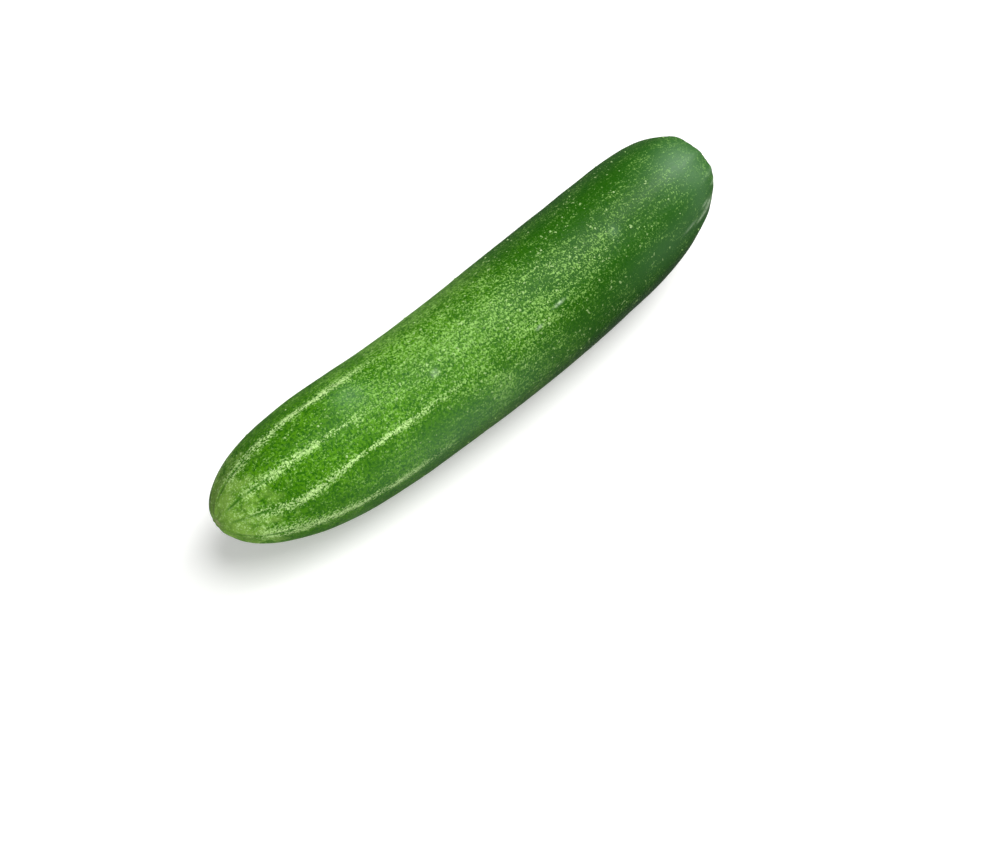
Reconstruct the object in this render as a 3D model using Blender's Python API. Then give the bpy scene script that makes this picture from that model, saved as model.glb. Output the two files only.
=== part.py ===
"""A cucumber lying on its side: the whole fruit, and the cut stub of its stalk.

Metres, +Z up. The fruit lies along X, blossom end at -X and stem end at +X, with its belly
towards -Y. It rests on the plane z = 0, and the origin is under the middle of its box.
"""
import math

import bmesh
import bpy
from mathutils import Matrix, Vector

MM = 0.001

# The body of the fruit
LENGTH = 200 * MM
RADIUS = 21.3 * MM
SWELL = 0.016
SWELL_PITCH = 114 * MM
SWELL_CREST = 23 * MM
BEND = 7 * MM

# The two ends: how long each tapers, and how blunt it is
BLOSSOM_TAPER = 65 * MM
BLOSSOM_BLUNTNESS = 2.7
STEM_TAPER = 54 * MM
STEM_BLUNTNESS = 4.4

# The stem end is oblique: its last rings lean down towards the stalk
SEAT_LEAN = math.radians(22)
SEAT_DROP = 1 * MM
SEAT_REACH = 48 * MM

# Ten vein lines run from end to end, each a few degrees off its even place
LINE_COUNT = 10
FIRST_LINE = math.radians(18)
LINE_STRAY_DEG = (2, 3, -2, 4, -3, 3, 2, 1, 10, 1)
RIB_HEIGHT = 0.3 * MM
SHOULDER_RIB_HEIGHT = 0.65 * MM
SHOULDER_RIB_REACH = 22 * MM
CREASE_DEPTH = 0.4 * MM
CREASE_SHARPNESS = 8
CREASE_REACH = 42 * MM
POLE_FADE = 5 * MM
LOBE_COUNT = 3
LOBE_HEIGHT = 0.15 * MM

# Hollows at the poles: the blossom scar, and the seat of the stalk
SCAR_RADIUS = 3 * MM
SCAR_DEPTH = 0.5 * MM
SEAT_FLOOR_RADIUS = 3.6 * MM
SEAT_RIM_RADIUS = 6.8 * MM
SEAT_DEPTH = 1.5 * MM

# The small flat spot that it rests on
REST_DEPTH = 0.45 * MM

# The stalk stub
STALK_LENGTH = 8 * MM
STALK_RADIUS = 1.9 * MM
STALK_FOOT_RADIUS = 3.1 * MM
STALK_CUT_RADIUS = 2.2 * MM
STALK_RIDGES = 5
STALK_RIDGE_SHARE = 0.12
STALK_TURN = math.radians(24)
STALK_GAP = 0.3 * MM

# Mesh density
AROUND = 60
RINGS = 64
RING_CROWDING = 0.25
STALK_AROUND = 20
STALK_RINGS = 9


def ease(value):
    """A smooth step from 0 to 1."""
    value = min(max(value, 0.0), 1.0)
    return value * value * (3 - 2 * value)


def place_along(polar):
    """X of the ring at this polar angle from the blossom pole, with rings crowded at the ends."""
    return -LENGTH / 2 * math.cos(polar - RING_CROWDING * math.sin(2 * polar))


def swelling(x):
    """Share by which the fruit is thicker or thinner at x than its mean."""
    return SWELL * math.cos(math.tau * (x - SWELL_CREST) / SWELL_PITCH)


def body_radius(x):
    """Radius of the fruit at x: a body that swells a little, between two tapered ends."""
    to_blossom = min((x + LENGTH / 2) / BLOSSOM_TAPER, 1)
    to_stem = min((LENGTH / 2 - x) / STEM_TAPER, 1)
    blossom = 1 - (1 - to_blossom) ** BLOSSOM_BLUNTNESS
    stem = 1 - (1 - to_stem) ** STEM_BLUNTNESS
    return RADIUS * (1 + swelling(x)) * math.sqrt(max(blossom * stem, 0))


def line_angle(turn):
    """Angle round the fruit from its top, with the vein lines off their even places."""
    pitch = math.tau / LINE_COUNT
    line = (turn - FIRST_LINE) / pitch
    before = math.floor(line)
    blend = ease(line - before)
    here = LINE_STRAY_DEG[before % LINE_COUNT]
    following = LINE_STRAY_DEG[(before + 1) % LINE_COUNT]
    return turn + math.radians(here + (following - here) * blend)


def smooth_point(polar, turn):
    """A point of the fruit before its ribs, scar and seat. It swells upwards, over a level underside."""
    x = place_along(polar)
    radius = body_radius(x)
    angle = line_angle(turn)
    side = radius * math.sin(angle)
    top = radius * math.cos(angle)
    bow = BEND * ((2 * x / LENGTH) ** 2 - 1 / 3)
    near_seat = ease(1 - (LENGTH / 2 - x) / SEAT_REACH)
    lean = SEAT_LEAN * near_seat
    return Vector((
        x + top * math.sin(lean),
        side + bow,
        top * math.cos(lean) - SEAT_DROP * near_seat + RADIUS * swelling(x),
    ))


def hollow(x, radius):
    """How far the skin dips at the blossom scar or the stalk's seat, and its share of the seat."""
    if x < 0:
        return SCAR_DEPTH * ease(1 - radius / SCAR_RADIUS), 0
    wall = (radius - SEAT_FLOOR_RADIUS) / (SEAT_RIM_RADIUS - SEAT_FLOOR_RADIUS)
    share = ease(1 - wall)
    return SEAT_DEPTH * share, share


def relief(polar, turn):
    """Height of the skin over the smooth fruit: lobes, ribs and creases, less the hollows."""
    x = place_along(polar)
    radius = body_radius(x)
    phase = LINE_COUNT * (turn - FIRST_LINE) / 2
    shoulder = ease(1 - (LENGTH / 2 - x) / SHOULDER_RIB_REACH)
    rib_height = RIB_HEIGHT + (SHOULDER_RIB_HEIGHT - RIB_HEIGHT) * shoulder
    rib = rib_height * (1 - abs(math.sin(phase)))
    crease_depth = CREASE_DEPTH * ease(1 - (x + LENGTH / 2) / CREASE_REACH)
    crease = crease_depth * math.cos(phase) ** (2 * CREASE_SHARPNESS)
    lobe = LOBE_HEIGHT * math.cos(LOBE_COUNT * turn) * ease(radius / RADIUS)
    dip, in_seat = hollow(x, radius)
    return lobe + (rib - crease) * ease(radius / POLE_FADE) * (1 - in_seat) - dip


def sphere_angles(point):
    """Polar angle from the blossom pole, and turn from the top towards +Y, on the unit sphere."""
    polar = math.acos(min(max(-point.x, -1), 1))
    return polar, math.atan2(point.y, point.z) % math.tau


def make_fruit(mesh):
    """A unit sphere with its poles turned onto X, moved point by point into the fruit."""
    bm = bmesh.new()
    bmesh.ops.create_uvsphere(bm, u_segments=AROUND, v_segments=RINGS, radius=1,
                              matrix=Matrix.Rotation(math.pi / 2, 4, 'Y'))
    angles = {vert: sphere_angles(vert.co) for vert in bm.verts}
    for vert, (polar, turn) in angles.items():
        vert.co = smooth_point(polar, turn)
    bm.normal_update()
    heights = {vert: relief(*angles[vert]) for vert in bm.verts}
    normals = {vert: vert.normal.copy() for vert in bm.verts}
    for vert in bm.verts:
        vert.co += normals[vert] * heights[vert]
    lowest = min(vert.co.z for vert in bm.verts)
    for vert in bm.verts:
        vert.co.z = max(vert.co.z, lowest + REST_DEPTH)
    bm.to_mesh(mesh)
    bm.free()


def stalk_radius(share, turn):
    """Radius of the stalk at this share of its length: a flared foot, ridges and a swollen cut end."""
    foot = (STALK_FOOT_RADIUS - STALK_RADIUS) * (1 - share) ** 4
    cut = (STALK_CUT_RADIUS - STALK_RADIUS) * share ** 3
    ridge = 1 + STALK_RIDGE_SHARE * math.cos(STALK_RIDGES * turn)
    return (STALK_RADIUS + foot + cut) * ridge


def make_stalk(mesh, seat, outward):
    """A ridged stub that stands in the seat, a hair above its floor, and curves as it leaves."""
    bm = bmesh.new()
    bmesh.ops.create_cone(bm, cap_ends=True, segments=STALK_AROUND, radius1=1, radius2=1, depth=1,
                          matrix=Matrix.Translation((0, 0, 0.5)))
    walls = [edge for edge in bm.edges if abs(edge.verts[0].co.z - edge.verts[1].co.z) > 0.5]
    bmesh.ops.subdivide_edges(bm, edges=walls, cuts=STALK_RINGS)
    level = Vector((0, 1, 0))
    across = outward.cross(level)
    bend_radius = STALK_LENGTH / STALK_TURN
    for vert in bm.verts:
        share = vert.co.z
        turn = math.atan2(vert.co.y, vert.co.x)
        radius = stalk_radius(share, turn)
        swing = STALK_TURN * share
        spine = (outward * math.sin(swing) + level * (1 - math.cos(swing))) * bend_radius
        level_here = level * math.cos(swing) - outward * math.sin(swing)
        offset = (across * math.sin(turn) + level_here * math.cos(turn)) * radius
        vert.co = seat + outward * STALK_GAP + spine + offset
    bm.to_mesh(mesh)
    bm.free()


def add_material(name, colour, roughness):
    """A plain finish of one colour."""
    material = bpy.data.materials.new(name)
    material.use_nodes = True
    shader = material.node_tree.nodes["Principled BSDF"]
    shader.inputs["Base Color"].default_value = (*colour, 1)
    shader.inputs["Roughness"].default_value = roughness
    shader.inputs["Metallic"].default_value = 0
    return material


def add_piece(name, collection, material):
    """An empty, smooth-shaded object of one material."""
    mesh = bpy.data.meshes.new(name)
    mesh.materials.append(material)
    piece = bpy.data.objects.new(name, mesh)
    collection.objects.link(piece)
    return piece


def stand_on_ground(pieces):
    """Move the pieces together so that the middle of their box's underside is the origin."""
    points = [vert.co for piece in pieces for vert in piece.data.vertices]
    lows = [min(point[axis] for point in points) for axis in range(3)]
    highs = [max(point[axis] for point in points) for axis in range(3)]
    shift = Vector((-(lows[0] + highs[0]) / 2, -(lows[1] + highs[1]) / 2, -lows[2]))
    for piece in pieces:
        piece.data.transform(Matrix.Translation(shift))


def main():
    for old in list(bpy.data.objects):
        bpy.data.objects.remove(old)
    collection = bpy.data.collections.new("cucumber")
    bpy.context.scene.collection.children.link(collection)

    skin = add_material("cucumber_skin", (0.045, 0.165, 0.02), 0.4)
    fruit = add_piece("fruit", collection, skin)
    make_fruit(fruit.data)

    stalk_green = add_material("stalk_green", (0.13, 0.25, 0.05), 0.65)
    stem = add_piece("stem", collection, stalk_green)
    outward = Vector((math.cos(SEAT_LEAN), 0, -math.sin(SEAT_LEAN)))
    seat = smooth_point(math.pi, 0) - outward * SEAT_DEPTH
    make_stalk(stem.data, seat, outward)

    for piece in (fruit, stem):
        piece.data.shade_smooth()
        piece.data.set_sharp_from_angle(angle=math.radians(40))
    stand_on_ground((fruit, stem))


main()
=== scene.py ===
"""Cucumber: the finished look of a whole cucumber lying on its side, grown over its solid frame."""

import functools
import math
import random

import bmesh
import bpy
from bpy.props import FloatProperty, FloatVectorProperty, IntProperty, PointerProperty
from mathutils import Matrix, Vector, noise


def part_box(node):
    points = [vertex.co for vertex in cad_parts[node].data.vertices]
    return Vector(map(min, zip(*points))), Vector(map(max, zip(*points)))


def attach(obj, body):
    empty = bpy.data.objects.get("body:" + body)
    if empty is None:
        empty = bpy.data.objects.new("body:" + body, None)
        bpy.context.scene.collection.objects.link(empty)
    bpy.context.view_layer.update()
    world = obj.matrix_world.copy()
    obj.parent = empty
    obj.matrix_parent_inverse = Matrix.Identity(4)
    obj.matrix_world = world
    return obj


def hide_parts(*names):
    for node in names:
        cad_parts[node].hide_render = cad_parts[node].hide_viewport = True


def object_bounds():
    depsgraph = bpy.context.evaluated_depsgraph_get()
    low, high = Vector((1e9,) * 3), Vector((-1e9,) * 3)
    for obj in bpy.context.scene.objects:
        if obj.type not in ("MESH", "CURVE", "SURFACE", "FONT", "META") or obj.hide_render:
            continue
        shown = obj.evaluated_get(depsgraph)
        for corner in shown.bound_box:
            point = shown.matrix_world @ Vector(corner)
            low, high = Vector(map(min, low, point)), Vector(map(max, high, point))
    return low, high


bl_info = {
    "name": "Whole Cucumber",
    "version": (1, 0, 0),
    "blender": (4, 5, 0),
    "location": "3D View > Sidebar > Cucumber",
    "description": "Grows the fine skin, stalk, scar and spine bumps of a cucumber over its solid frame",
    "category": "Mesh",
}

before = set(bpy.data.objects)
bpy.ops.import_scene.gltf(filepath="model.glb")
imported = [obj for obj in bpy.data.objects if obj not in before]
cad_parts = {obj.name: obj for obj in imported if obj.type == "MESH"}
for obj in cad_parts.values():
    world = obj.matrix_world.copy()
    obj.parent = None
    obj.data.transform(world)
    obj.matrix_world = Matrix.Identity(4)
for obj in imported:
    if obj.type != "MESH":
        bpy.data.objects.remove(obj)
SOLID_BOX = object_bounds()
FRUIT_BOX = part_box("fruit")
STALK_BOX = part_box("stem")

MM = 0.001
BODY = "root"

# Ten vein lines run from end to end, each a few degrees off its even place. The first is just past
# the top towards +Y. Each stays pale from the blossom end to about its reach, some of them paler or
# broader than others, and may sway aside near the blossom end. Near the stalk each has its share of a
# sharp ridge, with a painted highlight along its crest.
LINE_COUNT = 10
LINE_PITCH = math.tau / LINE_COUNT
FIRST_LINE = math.radians(18)
LINE_STRAY_DEG = (2, 3, -2, 4, -3, 3, 2, 1, 10, 1)
LINE_REACH_MM = (60, 56, 64, 57, 70, 55, 66, 68, 76, 49)
LINE_PALENESS = (0.98, 0.8, 0.7, 0.9, 0.75, 0.8, 0.7, 0.95, 0.88, 0.76)
LINE_BREADTH = (1.25, 0.9, 1.2, 0.9, 1.0, 1.2, 0.9, 1.5, 1.0, 1.1)
LINE_SWAY_MM = (0, 0, 0, 0, 0, 0, 0, 0, -2.8, 0)
RIDGE_SHARE = (0.1, 0.5, 0.3, 0.7, 0.4, 0.6, 0.5, 0.8, 0.3, 0.1)

# Grey blurs, partly the skin's wax and partly painted highlight and painted reflection; short pale
# scratches, some of them painted glints on the shoulder near the stalk; and swellings near the two ends.
# Each has its millimetres from the blossom tip, degrees from the top towards +Y, length and width in
# millimetres, and strength.
WAX_AND_SHEEN_BLURS = (
    (49, 3, 11, 9, 0.55),
    # Painted reflection along the lower side of the blossom half
    (75, -84, 75, 20, 0.6),
    (150.5, -24, 4.5, 3.5, 0.5),
    # Painted highlight on the stem end
    (182, -12, 20, 15, 0.8),
    (168, -68, 46, 14, 0.4),
    (185, -48, 14, 16, 0.35),
    (70, 150, 14, 8, 0.7),
    (120, -150, 11, 9, 0.7),
    (138, 95, 16, 7, 0.6),
    (35, -120, 9, 7, 0.6),
)
SCRATCHES_AND_GLINTS = (
    (74, -23, 2.5, 2, 0.6),
    (110, -45, 2.5, 0.9, 0.9),
    (120, -40, 4, 0.8, 1.0),
    # The next six are painted glints along the lower shoulder near the stalk, raised a little like the
    # scratches
    (177, -71, 6, 0.8, 0.7),
    (183, -75, 5, 0.9, 1.0),
    (186, -66, 4, 0.7, 0.8),
    (189, -70, 4, 0.9, 0.9),
    (193, -56, 4, 0.8, 0.8),
    (188, -74, 7, 2.2, 0.8),
    (95, 120, 7, 0.6, 0.9),
    (150, 170, 5, 0.7, 0.8),
    (60, -140, 6, 0.6, 0.8),
)
SWELLINGS = (
    (195.5, -60, 14, 16, 1.0),
    (7, -95, 18, 20, 0.4),
)

# Spine bumps set one by one among the strewn ones: millimetres from the tip, degrees from the top. The
# strewn ones keep off both ends, by share of the length, and off the floor, and vary in size.
PLACED_BUMPS = (
    (86, -104), (134, -101), (151, 38), (170, 40), (121, 30), (156, -35.5), (158.5, -41), (160, -44),
)
BUMPS_BETWEEN = (0.05, 0.96)
BUMP_CLEARANCE = 1 * MM
BUMP_SIZES = (0.6, 1.25)

# What each point of the skin and of the stalk tells its finish
SKIN_MARKS = ("along", "flecked", "pale", "crease", "wax", "scratch", "ridge")
STALK_MARKS = ("ridge", "pith", "foot")

# Socket numbers of a Mix node that mixes colours, and the setting of a Map Range node that eases
MIX_SHARE, MIX_FIRST, MIX_SECOND, MIX_RESULT = 0, 6, 7, 2
SMOOTH = {"interpolation_type": 'SMOOTHSTEP'}


def ease(value):
    """A smooth step from 0 to 1."""
    value = min(max(value, 0.0), 1.0)
    return value * value * (3 - 2 * value)


def bell(value):
    """1 at 0, falling smoothly to nothing near 2 on either side."""
    return math.exp(-value * value)


def linear(hex_colour):
    """An sRGB hex colour as linear red, green and blue."""
    channels = (int(hex_colour[i:i + 2], 16) / 255 for i in (1, 3, 5))
    return tuple(c / 12.92 if c <= 0.04045 else ((c + 0.055) / 1.055) ** 2.4 for c in channels)


def length_prop(name, metres, description):
    """A length in metres. The other kinds of setting follow."""
    return FloatProperty(name=name, description=description, default=metres, min=0, precision=5,
                         unit='LENGTH')


def angle_prop(name, degrees, description):
    return FloatProperty(name=name, description=description, default=math.radians(degrees), subtype='ANGLE')


def share_prop(name, share, description):
    return FloatProperty(name=name, description=description, default=share, subtype='FACTOR')


def number_prop(name, number, description):
    return FloatProperty(name=name, description=description, default=number, min=0)


def count_prop(name, count, description):
    return IntProperty(name=name, description=description, default=count, min=0)


def colour_prop(name, hex_colour, description):
    return FloatVectorProperty(name=name, description=description, default=linear(hex_colour), size=3,
                               min=0, max=1, subtype='COLOR')


def way_prop(name, way, description):
    return FloatVectorProperty(name=name, description=description, default=way, size=3, subtype='DIRECTION')


def place_prop(name, millimetres, description):
    return FloatVectorProperty(name=name, description=description, size=3, subtype='TRANSLATION',
                               unit='LENGTH', default=tuple(part * MM for part in millimetres))


class CucumberShape(bpy.types.PropertyGroup):
    """The fruit's form, as the solid frame has it"""
    length: length_prop("Length", 200 * MM, "Length of the axis from the blossom tip to the stalk's seat")
    radius: length_prop("Radius", 21.3 * MM, "Mean radius of the body")
    swell: share_prop("Swell", 0.016, "Share by which the body swells and narrows along its length")
    swell_pitch: length_prop("Swell pitch", 114 * MM, "Distance from one swelling to the next")
    swell_crest: length_prop("Swell crest", 23 * MM, "Where the body is thickest, from its middle")
    bend: length_prop("Bend", 7 * MM, "How far the bent axis strays from a straight line")
    blossom_taper: length_prop("Blossom taper", 65 * MM, "Length over which the blossom end narrows")
    blossom_bluntness: number_prop("Blossom bluntness", 2.7, "How full the blossom end is")
    stem_taper: length_prop("Stem taper", 54 * MM, "Length over which the stem end narrows")
    stem_bluntness: number_prop("Stem bluntness", 4.4, "How full the stem end is")
    seat_lean: angle_prop("Seat lean", 22, "How far the stem end leans down towards the stalk")
    seat_drop: length_prop("Seat drop", 1 * MM, "How far the stalk's seat hangs under the axis")
    seat_reach: length_prop("Seat reach", 48 * MM, "Length over which the stem end comes to lean")
    rib_height: length_prop("Rib height", 0.3 * MM, "Height of the low ribs along the vein lines")
    rib_roundness: share_prop("Rib roundness", 0.25, "How rounded the crests of the ribs are")
    shoulder_rib_height: length_prop("Shoulder rib height", 0.65 * MM, "Height of the ribs near the stalk")
    shoulder_rib_reach: length_prop("Shoulder rib reach", 22 * MM, "How far these ribs run from the stalk")
    lobe_height: length_prop("Lobe height", 0.15 * MM, "Height of the three broad lobes round the body")
    pole_fade: length_prop("Pole fade", 5 * MM, "Radius within which ribs and creases die away")
    scar_radius: length_prop("Scar dip radius", 3 * MM, "Radius of the dip at the blossom scar")
    scar_depth: length_prop("Scar dip depth", 0.5 * MM, "Depth of the dip at the blossom scar")
    seat_floor_radius: length_prop("Seat floor radius", 3.6 * MM, "Radius of the seat's floor")
    seat_rim_radius: length_prop("Seat rim radius", 6.8 * MM, "Radius of the seat's rim")
    seat_depth: length_prop("Seat depth", 1.5 * MM, "Depth of the seat that the stalk stands in")


class CucumberSkin(bpy.types.PropertyGroup):
    """The fine relief and the colours of the skin"""
    around: count_prop("Around", 300, "Mesh segments round the fruit")
    rings: count_prop("Rings", 320, "Mesh rings along the fruit")
    crease_depth: length_prop("Crease depth", 0.28 * MM, "Depth of the fine creases at the blossom end")
    crease_width: length_prop("Crease width", 0.42 * MM, "Half width of a fine crease")
    crease_reach: length_prop("Crease reach", 23 * MM, "How far the creases run from the blossom tip")
    crease_start: length_prop("Crease start", 1.2 * MM, "How far from the blossom tip the creases start")
    crease_break: length_prop("Crease break", 5 * MM, "Length over which a crease breaks off and goes on")
    sway_place: length_prop("Sway place", 20 * MM, "Where a line sways most, from the blossom tip")
    sway_reach: length_prop("Sway reach", 14 * MM, "How far a sway runs to either side of its place")
    line_wander: length_prop("Line wander", 0.45 * MM, "How far the vein lines wander off their course")
    wander_pitch: length_prop("Wander pitch", 9 * MM, "Length over which the vein lines wander")
    line_start: length_prop("Line start", 3 * MM, "How far from the blossom tip the pale lines start")
    line_rise: length_prop("Line rise", 7 * MM, "Length over which a pale line gains its strength")
    line_width: length_prop("Line width", 1.7 * MM, "Half width of a pale line where it is widest")
    line_thinning: length_prop("Line thinning", 45 * MM, "Length over which a pale line thins")
    line_loss: share_prop("Line loss", 0.42, "Share of its width that a pale line loses as it thins")
    unevenness: length_prop("Unevenness", 0.12 * MM, "Height of the slow unevenness of the skin")
    unevenness_size: length_prop("Unevenness size", 11 * MM, "Size of the slow unevenness of the skin")
    grain: length_prop("Grain", 0.03 * MM, "Height of the small unevenness of the skin")
    grain_size: length_prop("Grain size", 3 * MM, "Size of the small unevenness of the skin")
    scratch_height: length_prop("Scratch height", 0.12 * MM, "How far the healed scratches stand up")
    swelling_height: length_prop("Swelling height", 1.5 * MM, "Height of a swelling at full strength")
    ridge_height: length_prop("Seat ridge height", 0.3 * MM, "Height of the sharp ridges round the stalk")
    ridge_width: length_prop("Seat ridge width", 0.7 * MM, "Half width of a sharp ridge")
    ridge_reach: length_prop("Seat ridge reach", 19 * MM, "How far the ridges run from the stalk")
    wrinkle_height: length_prop("Wrinkle height", 0.05 * MM, "Height of the fine wrinkles round the stalk")
    wrinkle_count: count_prop("Wrinkles", 34, "Fine wrinkles round the stalk")
    wrinkle_reach: length_prop("Wrinkle reach", 14 * MM, "How far the wrinkles run from the stalk")
    wrinkle_waver: length_prop("Wrinkle waver", 6 * MM, "Length over which the wrinkles waver")
    wrinkle_sway: number_prop("Wrinkle sway", 2.4, "How far the wrinkles waver")
    mottle_size: length_prop("Mottle size", 0.85 * MM, "Size of the soft light and dark mottling")
    patch_size: length_prop("Patch size", 11 * MM, "Size of the slow lighter and darker patches")
    streak_size: length_prop("Streak size", 0.9 * MM, "Width of the fine streaks along the fruit")
    waver_size: length_prop("Waver size", 4 * MM, "Size of the unevenness of the yellow blossom end")
    fleck_size: length_prop("Fleck size", 0.58 * MM, "Size of the fine flecks")
    fleck_height: length_prop("Fleck height", 0.08 * MM, "How far the flecks stand up")
    break_size: length_prop("Break size", 0.8 * MM, "Size of the gaps in lines, scratches and ridges")
    fleck_start: length_prop("Fleck start", 22 * MM, "Where the flecks begin to crowd, from the blossom tip")
    lag_turn: angle_prop("Lag turn", 10, "Where round the fruit they begin first, from the top")
    fleck_lag: length_prop("Fleck lag", 60 * MM, "How much later they begin on the opposite side")
    fleck_end: length_prop("Fleck end", 156 * MM, "Where the crowded flecks end, from the blossom tip")
    fleck_fade: length_prop("Fleck fade", 60 * MM, "Length over which the flecks crowd and thin out again")
    tongue_reach: length_prop("Tongue reach", 18 * MM, "How much further three tongues of flecks reach")
    tongue_turn: angle_prop("Tongue turn", -30, "Where the first tongue of flecks lies, from the top")
    blotch_size: length_prop("Blotch size", 1.3 * MM, "Size of the scattered larger flecks")
    cluster_size: length_prop("Cluster size", 6 * MM, "Size of the clusters of larger flecks")
    deep_green: colour_prop("Deep green", "#235E00", "Colour of the darker mottling")
    leaf_green: colour_prop("Leaf green", "#528F0A", "Colour of the lighter mottling")
    fleck_green: colour_prop("Fleck", "#9CCF68", "Colour of the fine flecks")
    line_green: colour_prop("Vein line", "#CCEE9E", "Colour of the pale lines")
    blossom_green: colour_prop("Blossom end", "#9CC858", "Colour that the blossom end lightens to")
    stem_green: colour_prop("Stem end", "#1B5202", "Colour that the stem end darkens to")
    # Painted shade inside the fine creases
    painted_crease_shade: colour_prop("Crease", "#2E6B0E", "Colour inside the creases")
    # Grey of the blurs: partly the skin's wax, partly painted highlight and painted reflection
    wax_and_sheen_grey: colour_prop("Wax", "#86AE88", "Colour of the wax that lies on the skin")
    # Pale of the scratches, and of the painted glints on the shoulder near the stalk
    scratch_and_glint_pale: colour_prop("Scratch", "#C6DDB8", "Colour of the dry healed scratches")
    # Painted highlight along the crests of the sharp ridges round the stalk
    painted_ridge_glint: colour_prop("Ridge", "#B5CFB0", "Colour of the dry ridges round the stalk")


class CucumberDetails(bpy.types.PropertyGroup):
    """The stalk, the blossom scar and the spine bumps"""
    stalk_length: length_prop("Stalk length", 8 * MM, "Length of the cut stub")
    stalk_radius: length_prop("Stalk radius", 1.9 * MM, "Radius of the stub")
    stalk_foot_radius: length_prop("Stalk foot radius", 3.3 * MM, "Radius where it leaves the fruit")
    stalk_cut_radius: length_prop("Stalk cut radius", 2.2 * MM, "Radius at the cut")
    stalk_turn: angle_prop("Stalk turn", 24, "How far the stub curves towards +Y")
    stalk_sink: length_prop("Stalk sink", 0.6 * MM, "How far its foot reaches into the fruit")
    stalk_around: count_prop("Stalk around", 96, "Mesh segments round the stub")
    stalk_rings: count_prop("Stalk rings", 48, "Mesh rings along the stub")
    cut_rings: count_prop("Cut rings", 7, "Mesh rings on the cut")
    stalk_ridges: count_prop("Stalk ridges", 5, "Ridges round the stub")
    stalk_groove: share_prop("Stalk groove", 0.88, "Share of the radius in the grooves between the ridges")
    stalk_ridge: share_prop("Stalk ridge", 0.24, "Share of the radius by which the ridges stand out")
    stalk_grain: share_prop("Stalk grain", 0.06, "Share of the radius by which the bark is uneven")
    cup_depth: length_prop("Cup depth", 0.25 * MM, "How far the cut is hollowed")
    cut_grain: length_prop("Cut grain", 0.06 * MM, "Height of the cut's roughness")
    cut_grain_size: length_prop("Cut grain size", 0.5 * MM, "Size of the cut's roughness")
    fibre_size: length_prop("Fibre size", 0.35 * MM, "Width of the stalk's fibres")
    fibre_height: length_prop("Fibre height", 0.12 * MM, "How far the fibres stand up")
    stalk_green: colour_prop("Stalk", "#4E7B1E", "Colour of the stalk")
    stalk_pale: colour_prop("Stalk fibre", "#9DB87B", "Colour of the stalk's fibres and ridges")
    foot_grey: colour_prop("Stalk foot", "#A9BFA2", "Colour of the dry bark at the stalk's foot")
    cut_pale: colour_prop("Cut", "#B9C486", "Colour of the cut's pith")
    scar_radius: length_prop("Scar radius", 1.4 * MM, "Radius of the blossom scar")
    scar_height: length_prop("Scar height", 0.35 * MM, "Height of the blossom scar")
    scar_raggedness: share_prop("Scar raggedness", 0.16, "How uneven the scar's outline is")
    scar_cracks: share_prop("Scar cracks", 0.45, "How deep the scar's cracks go")
    scar_dent: share_prop("Scar dent", 0.6, "How deep the dent in the scar's middle is")
    flake_size: length_prop("Flake size", 0.45 * MM, "Size of the scar's flakes")
    flake_height: length_prop("Flake height", 0.15 * MM, "How far the flakes stand up")
    scar_tan: colour_prop("Scar", "#8F9A58", "Colour of the corky scar")
    scar_pale: colour_prop("Scar edge", "#B4C68A", "Colour of the scar's flaking edge")
    bump_count: count_prop("Bumps", 110, "Spine bumps strewn over the fruit")
    bump_radius: length_prop("Bump radius", 0.34 * MM, "Mean radius of a spine bump")
    bump_flatness: share_prop("Bump flatness", 0.55, "Height of a spine bump as a share of its radius")
    bump_variety: length_prop("Bump variety", 4 * MM, "Distance over which the bumps' colour changes")
    bump_pale: colour_prop("Bump", "#B2CF8E", "Colour of the spine bumps")
    bump_green: colour_prop("Greener bump", "#8DBB62", "Colour of the greener spine bumps")


class CucumberStudio(bpy.types.PropertyGroup):
    """The camera, the floor and the lights"""
    azimuth: angle_prop("Azimuth", -43.27, "Angle round the fruit that the camera looks from")
    elevation: angle_prop("Elevation", 53.24, "Angle above the horizon that the camera looks from")
    distance: length_prop("Distance", 732.5 * MM, "Distance from the camera to the fruit")
    lens: number_prop("Lens", 85, "Focal length in millimetres")
    aim_right: length_prop("Aim right", 4.25 * MM, "How far right of the fruit's middle the camera aims")
    aim_down: length_prop("Aim down", 26.18 * MM, "How far under the fruit's middle the camera aims")
    key_strength: number_prop("Key", 2.75, "Strength of the broad overhead light")
    key_way: way_prop("Key way", (0.42, -0.1, 0.9), "Way to the broad overhead light")
    key_spread: angle_prop("Key spread", 60, "Apparent size of the broad overhead light")
    window_strength: number_prop("Window", 2, "Strength of the low side light")
    window_way: way_prop("Window way", (0.85, -0.02, 0.5), "Way to the low side light")
    window_spread: angle_prop("Window spread", 34, "Apparent size of the low side light")
    card_strength: number_prop("Card", 0.38, "Power of the lit card by the blossom end")
    card_size: length_prop("Card size", 160 * MM, "Width and height of the lit card")
    card_place: place_prop("Card place", (-220, -160, 45), "Middle of the lit card")
    card_target: place_prop("Card target", (-70, 0, 20), "What the lit card faces")
    sky_strength: number_prop("Sky", 0.16, "Strength of the even light all round")
    sky_white: colour_prop("Sky colour", "#F4F8FB", "Colour of the even light all round")
    floor_size: length_prop("Floor size", 5, "Width of the floor to either side of its middle")
    floor_drop: length_prop("Floor drop", 0.1 * MM, "How far the floor lies under the fruit")
    floor_white: colour_prop("Floor", "#ECECEA", "Colour of the floor")
    floor_glow: number_prop("Floor glow", 0.35, "Strength of the floor's own light")
    tone_size: length_prop("Tone size", 200 * MM, "Size of the slow changes of the floor's tone")


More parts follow.
